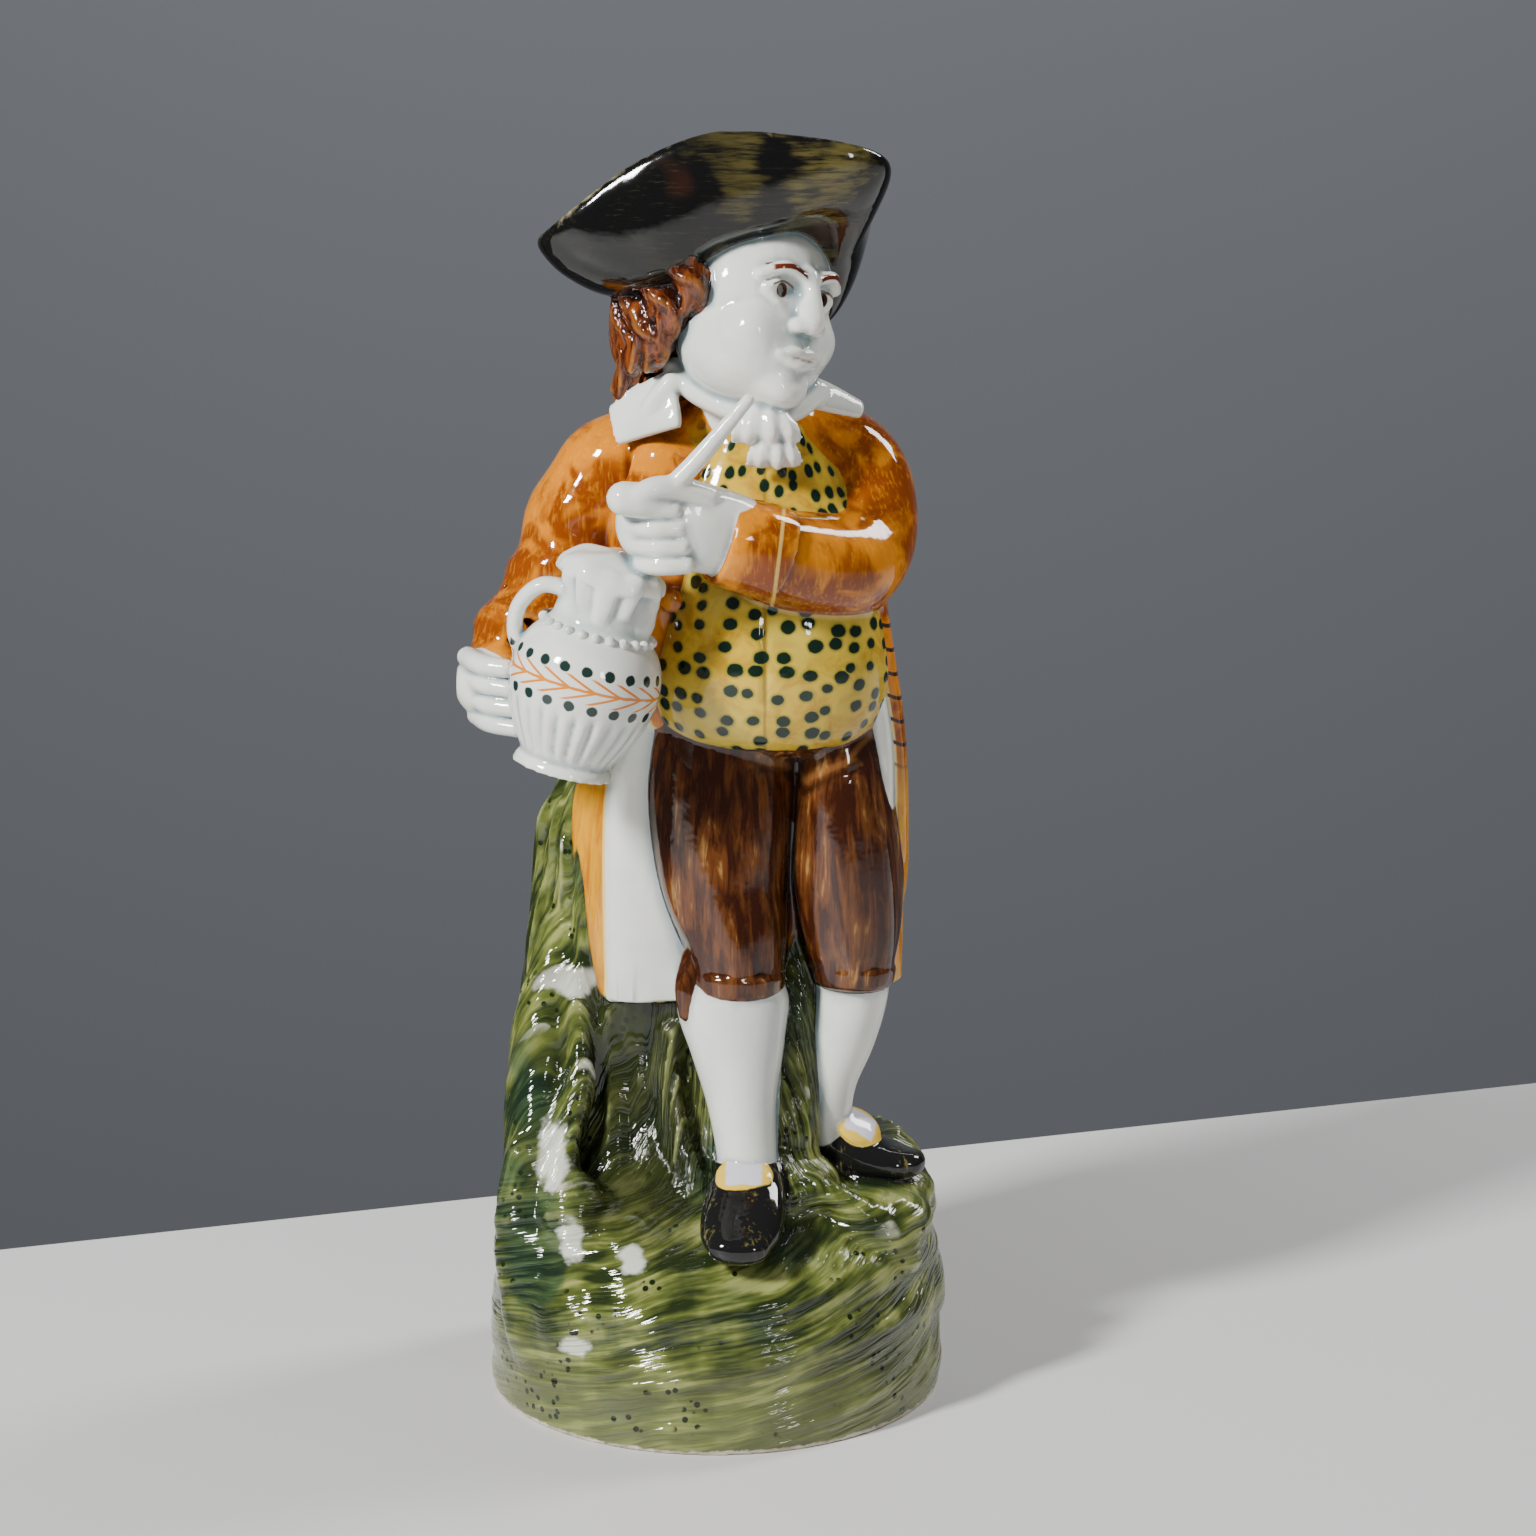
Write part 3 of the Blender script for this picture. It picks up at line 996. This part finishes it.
def breeches_brown(p):
    """Brown, brushed downwards."""
    thin_paint = p.streak_up + (p.blotch - 0.5) * 0.55
    brown = p.mix(p.step(thin_paint, 0.40, 0.66), (0.034, 0.008, 0.003), (0.13, 0.042, 0.010))
    brown = p.mix(p.step(thin_paint + (p.streak_fine - 0.5) * 0.4, 0.62, 0.80), brown, (0.33, 0.18, 0.055))
    fold, fold_lip = None, None
    for start_x, start_z, end_x, end_z in BREECHES_FOLDS:
        run_x, run_z = end_x - start_x, end_z - start_z
        long = run_x * run_x + run_z * run_z
        from_x, from_z = p.x - start_x, p.z - start_z
        part = (from_x * run_x + from_z * run_z) * (1 / long)
        part = p.least(p.most(part, 0.0), 1.0)
        off_x = from_x - part * run_x
        off_z = from_z - part * run_z
        off_z = off_z - part * (1.0 - part) * 4.0
        away = (off_x * off_x + off_z * off_z) ** 0.5
        line = p.step(away + part * 0.6, 1.9, 0.1)
        lip = p.step(abs(away - 2.0), 1.2, 0.2) * p.step(off_z, 0.2, 1.0)
        fold = line if fold is None else p.most(fold, line)
        fold_lip = lip if fold_lip is None else p.most(fold_lip, lip)
    in_front = p.step(p.y, 2, -4)
    fold, fold_lip = fold * in_front, fold_lip * in_front
    brown = p.mix(fold_lip * 0.35, brown, (0.30, 0.13, 0.035))
    brown = p.mix(fold * 0.85, brown, (0.016, 0.004, 0.002))
    return p.mix(p.step(p.crease, -0.02, 0.5), brown, (0.014, 0.004, 0.002))


def waistcoat_yellow(p):
    """Yellow with green-black spots and a seam down the middle."""
    yellow = p.mix(p.step(p.mottle, 0.38, 0.70), (0.64, 0.42, 0.035), (0.42, 0.22, 0.012))
    yellow = p.mix(p.step(p.patch, 0.4, 0.6) * 0.5, yellow, (0.58, 0.47, 0.07))
    round_belly = p.math("ARCTAN2", p.x - BELLY_MIDDLE, BELLY_BACK - p.y) * BELLY_RADIUS
    belly = p.joined(round_belly, p.z)
    spots = p.texture("Voronoi", belly, SPOT_SPACING, {"Randomness": 0.68}, voronoi_dimensions="2D")
    bigness = p.split(p.out(spots, "Color"))[0] * 0.09
    reach = p.out(spots, "Distance") + p.wobble * 0.22 - bigness
    yellow = p.mix(p.step(reach, 0.36, 0.20), yellow, (0.28, 0.25, 0.03))
    seam = p.step(abs(p.x + p.wobble - WAISTCOAT_SEAM), 0.55, 0.15)
    yellow = p.mix(seam * 0.6, yellow, (0.22, 0.13, 0.015))
    yellow = p.mix(p.step(p.crease, 0.02, 0.6), yellow, (0.20, 0.11, 0.012))
    return p.mix(p.step(reach, 0.25, 0.18), yellow, (0.006, 0.018, 0.010))


def coat_amber(p, waistcoat):
    """Amber with darker brush marks, and a yellow line along its edges."""
    cloth = p.noise(10, 3, 0.5, warp=0.8)
    worn = cloth + (p.patch - 0.5) * 0.6
    amber = p.mix(p.step(worn, 0.37, 0.62), (0.66, 0.215, 0.003), (0.235, 0.046, 0.002))
    amber = p.mix(p.step(p.streak_fine, 0.5, 0.7) * 0.4, amber, (0.80, 0.33, 0.012))
    skirts = p.mix(p.step(p.streak_up, 0.4, 0.7), (0.86, 0.42, 0.012), (0.62, 0.22, 0.004))
    amber = p.mix(p.step(p.z, 160, 135) * 0.7, amber, skirts)
    amber = p.mix(p.step(p.crease, -0.02, 0.5), amber, (0.10, 0.014, 0.002))
    amber = p.mix(p.step(p.crease, -0.3, -0.8) * 0.8, amber, (0.88, 0.52, 0.10))
    edge = abs(p.attribute("near_coat") - p.attribute("near_white"))
    at_rim = p.step(edge, 0.9, 0.35) * p.step(p.z, 178, 168)
    amber = p.mix(at_rim, amber, (0.84, 0.64, 0.22))
    cuff_seam = p.step(abs(p.x + p.z * -0.12 - CUFF_SEAM), 0.6, 0.2)
    cuff_seam = cuff_seam * (p.step(p.y, -20, -24) * p.step(p.z, 178, 181))
    amber = p.mix(cuff_seam * 0.8, amber, (0.80, 0.55, 0.14))
    holes = abs(p.math("FRACT", (p.z + p.x * 0.5) * (1 / STITCH_SPACING)) - 0.5)
    left_strip = p.step(p.attribute("left_edge"), 0.9, 0.5) * (
        p.step(p.z, 146, 150) * p.step(p.z, 186, 182))
    amber = p.mix(p.step(holes, 0.11, 0.06) * left_strip, amber, (0.035, 0.012, 0.008))

    # A sliver of the waistcoat between collar and neckcloth.
    sliver = p.x + 6.0 + (p.z - 230.0) * 0.5
    sliver = p.step(abs(sliver), 2.9, 2.3) * (p.step(p.y, -3, -6) * p.step(p.z, 214, 217))
    return p.mix(sliver, amber, waistcoat)


def hair_chestnut(p):
    """Chestnut, and the height of its strands."""
    lock_strand = p.noise(1.9, 3, 0.55, stretch=(1, 1, 0.25), warp=0.8)
    chestnut = p.mix(p.step(lock_strand, 0.36, 0.66), (0.042, 0.008, 0.003), (0.20, 0.048, 0.008))
    chestnut = p.mix(p.step(p.crease, -0.25, -0.8) * 0.7, chestnut, (0.42, 0.17, 0.030))
    chestnut = p.mix(p.step(p.crease, -0.05, 0.4), chestnut, (0.016, 0.004, 0.002))
    return chestnut, lock_strand


def hat_black(p):
    """Black with olive brushed along the brim."""
    olive = p.noise(1.5, 4, 0.65, stretch=(0.12, 1, 1.2), turn=(0, 8, -25), warp=0.25)
    rubbed = olive * p.step(p.noise(17, 2, 0.5, turn=(0, 0, 20)), 0.34, 0.68)
    rub_share = p.step(rubbed, 0.3, 0.6) * p.step(p.x, -22, 28)
    black = p.mix(rub_share, (0.004, 0.004, 0.004), (0.095, 0.078, 0.022))
    black = p.mix(p.step(p.noise(18, 1, 0.5, turn=(60, 0, 0)), 0.62, 0.74), black, (0.028, 0.010, 0.006))
    fine_rub = p.noise(0.9, 3, 0.7, stretch=(0.10, 1, 1.2), turn=(0, 8, -25))
    black = p.mix(p.step(fine_rub, 0.55, 0.8) * 0.5, black, (0.06, 0.05, 0.02))
    return p.mix(p.step(p.crease + p.wobble, -0.45, -0.85), black, (0.30, 0.27, 0.15))


def face_paint(p, white):
    """The head's brows, lash lines and irises, in the head's own directions."""
    side, back, up = p.split(p.attribute("head_place", "Vector"))
    aside = abs(side) - EYE_ASIDE
    front_face = p.step(back, -9, -11)

    def arc(height, rise, bend, thick, half_width):
        """A painted line bent over each eye."""
        centre = height + aside * rise
        centre = centre - aside * aside * bend
        gap = abs(up - (centre + p.wobble * 0.5))
        return p.step(gap, thick, thick * 0.6) * (
            p.step(abs(aside), half_width, half_width - 0.7) * front_face)

    skin = p.mix(arc(9.9, 0.05, 0.075, 0.75, 4.4), white, (0.13, 0.022, 0.008))
    skin = p.mix(arc(6.4, -0.02, 0.12, 0.36, 3.3) * 0.9, skin, (0.13, 0.04, 0.02))
    iris = (aside * aside + (up - EYE_HEIGHT) ** 2.0) ** 0.5
    skin = p.mix(p.step(iris, 1.75, 1.5) * front_face, skin, (0.050, 0.014, 0.006))
    skin = p.mix(p.step(iris, 0.85, 0.6) * front_face, skin, (0.004, 0.003, 0.003))
    lips = p.step(abs(up + LIPS_DROP), 1.7, 0.5) * (p.step(abs(side), 4.4, 2.6) * p.step(back, -14, -16))
    return p.mix(lips * 0.2, skin, (0.55, 0.25, 0.2))


def jug_band(p, white):
    """The small jug's band: two rows of spots with chevrons between them."""
    ax, ay, az = p.split(p.attribute("ale_place", "Vector"))
    ale_turn = p.math("ARCTAN2", ax, -ay)
    on_jug = p.step((ax * ax + ay * ay) ** 0.5, 18.5, 17.8) * p.step(az, 12, 14)
    cell = ale_turn * (BAND_SPOTS / (2 * math.pi))
    band = None
    for height, turned_on in BAND_ROWS:
        across = (p.math("FRACT", cell + turned_on) - 0.5) * SPOT_STEP
        rise = az - (height + p.wobble * 1.2)
        distance = (across * across + rise * rise) ** 0.5
        dot = p.step(distance, 1.35, 1.0)
        band = dot if band is None else p.most(band, dot)
    lean = abs(az - BAND_MIDDLE) * 0.42
    zig = abs(p.math("FRACT", cell * 0.9 + lean) - 0.5)
    chevron = p.step(zig + p.wobble * 0.06, 0.16, 0.09) * p.step(abs(az - BAND_MIDDLE), 3.1, 2.6)
    stem = p.step(abs(az - (BAND_MIDDLE + p.wobble * 0.8)), 0.42, 0.22)
    jug_paint = p.mix(p.most(chevron, stem) * on_jug, white, (0.72, 0.22, 0.015))
    return p.mix(band * on_jug, jug_paint, (0.012, 0.030, 0.026))


def glaze():
    p = Figure("painted_glaze")
    face = face_paint(p, pearl_white(p))
    green, strokes = rock_green(p)
    waistcoat = waistcoat_yellow(p)
    chestnut, strands = hair_chestnut(p)
    rubbed_shoe = p.step(p.mottle * p.streak_fine, 0.29, 0.42)
    inner_buckle = p.step(p.attribute("buckle") + p.wobble * 0.2, 0.68, 0.56)
    colours = {
        "white": jug_band(p, face),
        "rock": green,
        "breeches": breeches_brown(p),
        "coat": coat_amber(p, waistcoat),
        "waistcoat": waistcoat,
        "hair": chestnut,
        "hat": hat_black(p),
        "shoe": p.mix(rubbed_shoe, (0.008, 0.008, 0.008), (0.13, 0.11, 0.03)),
        "gold": p.mix(inner_buckle, (0.78, 0.52, 0.06), (0.66, 0.64, 0.72)),
        "eye": face,
    }

    colour = colours["white"]
    nearest = p.attribute("near_white")
    for zone in ZONES[1:]:
        distance = p.attribute("near_" + zone)
        gain = nearest - (distance + p.wobble * 0.45)
        colour = p.mix(p.step(gain, -0.12, 0.12), colour, colours[zone])
        nearest = p.least(nearest, distance)

    # The bare clay of the inside and the foot.
    inside = p.step(p.attribute("near_hollow"), 1.6, 0.6)
    colour = p.mix(
        inside, colour, p.mix(p.step(p.mottle, 0.4, 0.7), (0.72, 0.71, 0.62), (0.62, 0.61, 0.50)))
    bare = p.step(p.z + p.wobble * 2.4, 1.3, 0.6)
    colour = p.mix(bare, colour, p.mix(p.step(p.mottle, 0.4, 0.7), (0.66, 0.60, 0.48), (0.50, 0.42, 0.30)))

    p.link(colour, p.shader.inputs["Base Color"])
    gloss = 0.055 + p.step(p.blotch, 0.4, 0.75) * 0.05
    p.link(gloss + bare * 0.6, p.shader.inputs["Roughness"])
    p.shader.inputs["IOR"].default_value = 1.55

    stones = p.step(p.attribute("rock_lead"), -0.4, 0.6)
    locks = p.step(p.attribute("hair_lead"), -0.3, 0.3)
    relief = strokes * stones + strands * locks * 0.8
    carved = p.bump(relief, 1.3, 0.6)
    ripple = p.bump(p.noise(5, 2), 0.5, 0.22)
    p.link(p.out(carved, 0), ripple.inputs["Normal"])
    p.link(p.out(ripple, 0), p.shader.inputs["Normal"])
    return p.material


mesh.materials.clear()
mesh.materials.append(glaze())

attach(jug, "root")
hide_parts("toby_jug")


# A row of beads round the neck of the small jug
BEAD_HEIGHT = 32.4  # over the small jug's foot
BEAD_ROW = (
    ("Count", "Int", 24), ("Ring radius", "Float", 12.3 * UNIT), ("Bead radius", "Float", 1.15 * UNIT))


def bead_tree(material):
    """Small spheres set evenly round a ring."""
    tree = bpy.data.node_groups.new("bead_row", "GeometryNodeTree")
    sockets = {}
    for name, kind, value in BEAD_ROW:
        socket = tree.interface.new_socket(name, in_out="INPUT", socket_type="NodeSocket" + kind)
        socket.default_value = value
        sockets[name] = socket.identifier
    tree.interface.new_socket("Geometry", in_out="OUTPUT", socket_type="NodeSocketGeometry")
    given = tree.nodes.new("NodeGroupInput")
    ring = tree.nodes.new("GeometryNodeMeshCircle")
    bead = tree.nodes.new("GeometryNodeMeshIcoSphere")
    bead.inputs["Subdivisions"].default_value = 3
    copies = tree.nodes.new("GeometryNodeInstanceOnPoints")
    real = tree.nodes.new("GeometryNodeRealizeInstances")
    painted = tree.nodes.new("GeometryNodeSetMaterial")
    painted.inputs["Material"].default_value = material
    result = tree.nodes.new("NodeGroupOutput")
    joins = (
        (given, "Count", ring, "Vertices"),
        (given, "Ring radius", ring, "Radius"),
        (given, "Bead radius", bead, "Radius"),
        (ring, "Mesh", copies, "Points"),
        (bead, "Mesh", copies, "Instance"),
        (copies, "Instances", real, "Geometry"),
        (real, "Geometry", painted, "Geometry"),
        (painted, "Geometry", result, "Geometry"),
    )
    for a, out, b, into in joins:
        tree.links.new(a.outputs[out], b.inputs[into])
    return tree, sockets


def white_glaze():
    p = Paint("white_glaze")
    pooled = p.mix(p.step(p.noise(1.6, 2), 0.4, 0.65), (0.78, 0.78, 0.72), (0.55, 0.60, 0.58))
    p.link(pooled, p.shader.inputs["Base Color"])
    p.shader.inputs["Roughness"].default_value = 0.07
    p.shader.inputs["IOR"].default_value = 1.55
    return p.material


row = bpy.data.objects.new("bead_row", bpy.data.meshes.new("bead_row"))
bpy.context.scene.collection.objects.link(row)
tree, sockets = bead_tree(white_glaze())
setter = row.modifiers.new("beads", "NODES")
setter.node_group = tree
for name, _, value in BEAD_ROW:
    setter[sockets[name]] = value
beads = bpy.data.meshes.new_from_object(row.evaluated_get(bpy.context.evaluated_depsgraph_get()))
row.modifiers.clear()
row.data = beads
rise = Matrix.Translation((0, 0, BEAD_HEIGHT * UNIT))
beads.transform(Matrix.Translation(Vector(ALE_FOOT * UNIT)) @ Matrix(ALE_TURN.tolist()).to_4x4() @ rise)
beads.polygons.foreach_set("use_smooth", [True] * len(beads.polygons))
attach(row, "root")


# Stage, light and camera
def plain(name, colour, roughness):
    material = bpy.data.materials.new(name)
    material.use_nodes = True
    shader = material.node_tree.nodes["Principled BSDF"]
    shader.inputs["Base Color"].default_value = (*colour, 1)
    shader.inputs["Roughness"].default_value = roughness
    return material


def sheet(name, corners, material):
    made = bpy.data.meshes.new(name)
    made.from_pydata(corners, [], [(0, 1, 2, 3)])
    made.materials.append(material)
    stand = bpy.data.objects.new(name, made)
    bpy.context.scene.collection.objects.link(stand)


FLOOR_BACK, FLOOR_SLANT = 0.144, 0.335  # where the floor ends behind the jug, and how its back edge runs away
floor_edge = [(side, FLOOR_BACK + side * FLOOR_SLANT, 0) for side in (2, -2)]
sheet("floor", [(-2, -2, 0), (2, -2, 0), *floor_edge], plain("pale_floor", (0.66, 0.65, 0.64), 0.45))
wall_corners = [(x, 2.6, z) for x, z in ((-5, -3), (5, -3), (5, 3), (-5, 3))]
sheet("backdrop", wall_corners, plain("grey_backdrop", (0.25, 0.265, 0.29), 0.9))


def softbox(name, place, aim, power, size, colour=(1, 1, 1)):
    lamp = bpy.data.lights.new(name, "AREA")
    lamp.shape = "RECTANGLE"
    lamp.size, lamp.size_y = size
    lamp.energy = power
    lamp.color = colour
    holder = bpy.data.objects.new(name, lamp)
    bpy.context.scene.collection.objects.link(holder)
    holder.location = place
    holder.rotation_euler = (Vector(aim) - Vector(place)).to_track_quat("-Z", "Y").to_euler()


softbox("key", (-0.85, -0.75, 0.95), (0, 0, 0.15), 35, (0.17, 0.26))
softbox("fill", (0.55, -1.1, 0.50), (0, 0, 0.15), 2.0, (0.10, 0.22))
softbox("rim", (0.75, 0.45, 0.85), (0, 0, 0.15), 9, (0.25, 0.5))
softbox("wall", (0.0, 1.2, 1.6), (0.3, 2.6, 0.3), 22, (1.2, 0.5))

world = bpy.data.worlds.new("studio")
world.use_nodes = True
world.node_tree.nodes["Background"].inputs["Color"].default_value = (0.40, 0.40, 0.41, 1)
world.node_tree.nodes["Background"].inputs["Strength"].default_value = 0.22
bpy.context.scene.world = world

CAMERA_PLACE = (0.0122, -1.059, 0.412)
CAMERA_PITCH = 14.1
LENS = 112.5
view = bpy.data.cameras.new("camera")
view.sensor_width = 36
view.lens = LENS
camera = bpy.data.objects.new("camera", view)
camera.location = CAMERA_PLACE
camera.rotation_euler = (math.radians(90 - CAMERA_PITCH), 0, 0)
bpy.context.scene.collection.objects.link(camera)
bpy.context.scene.camera = camera
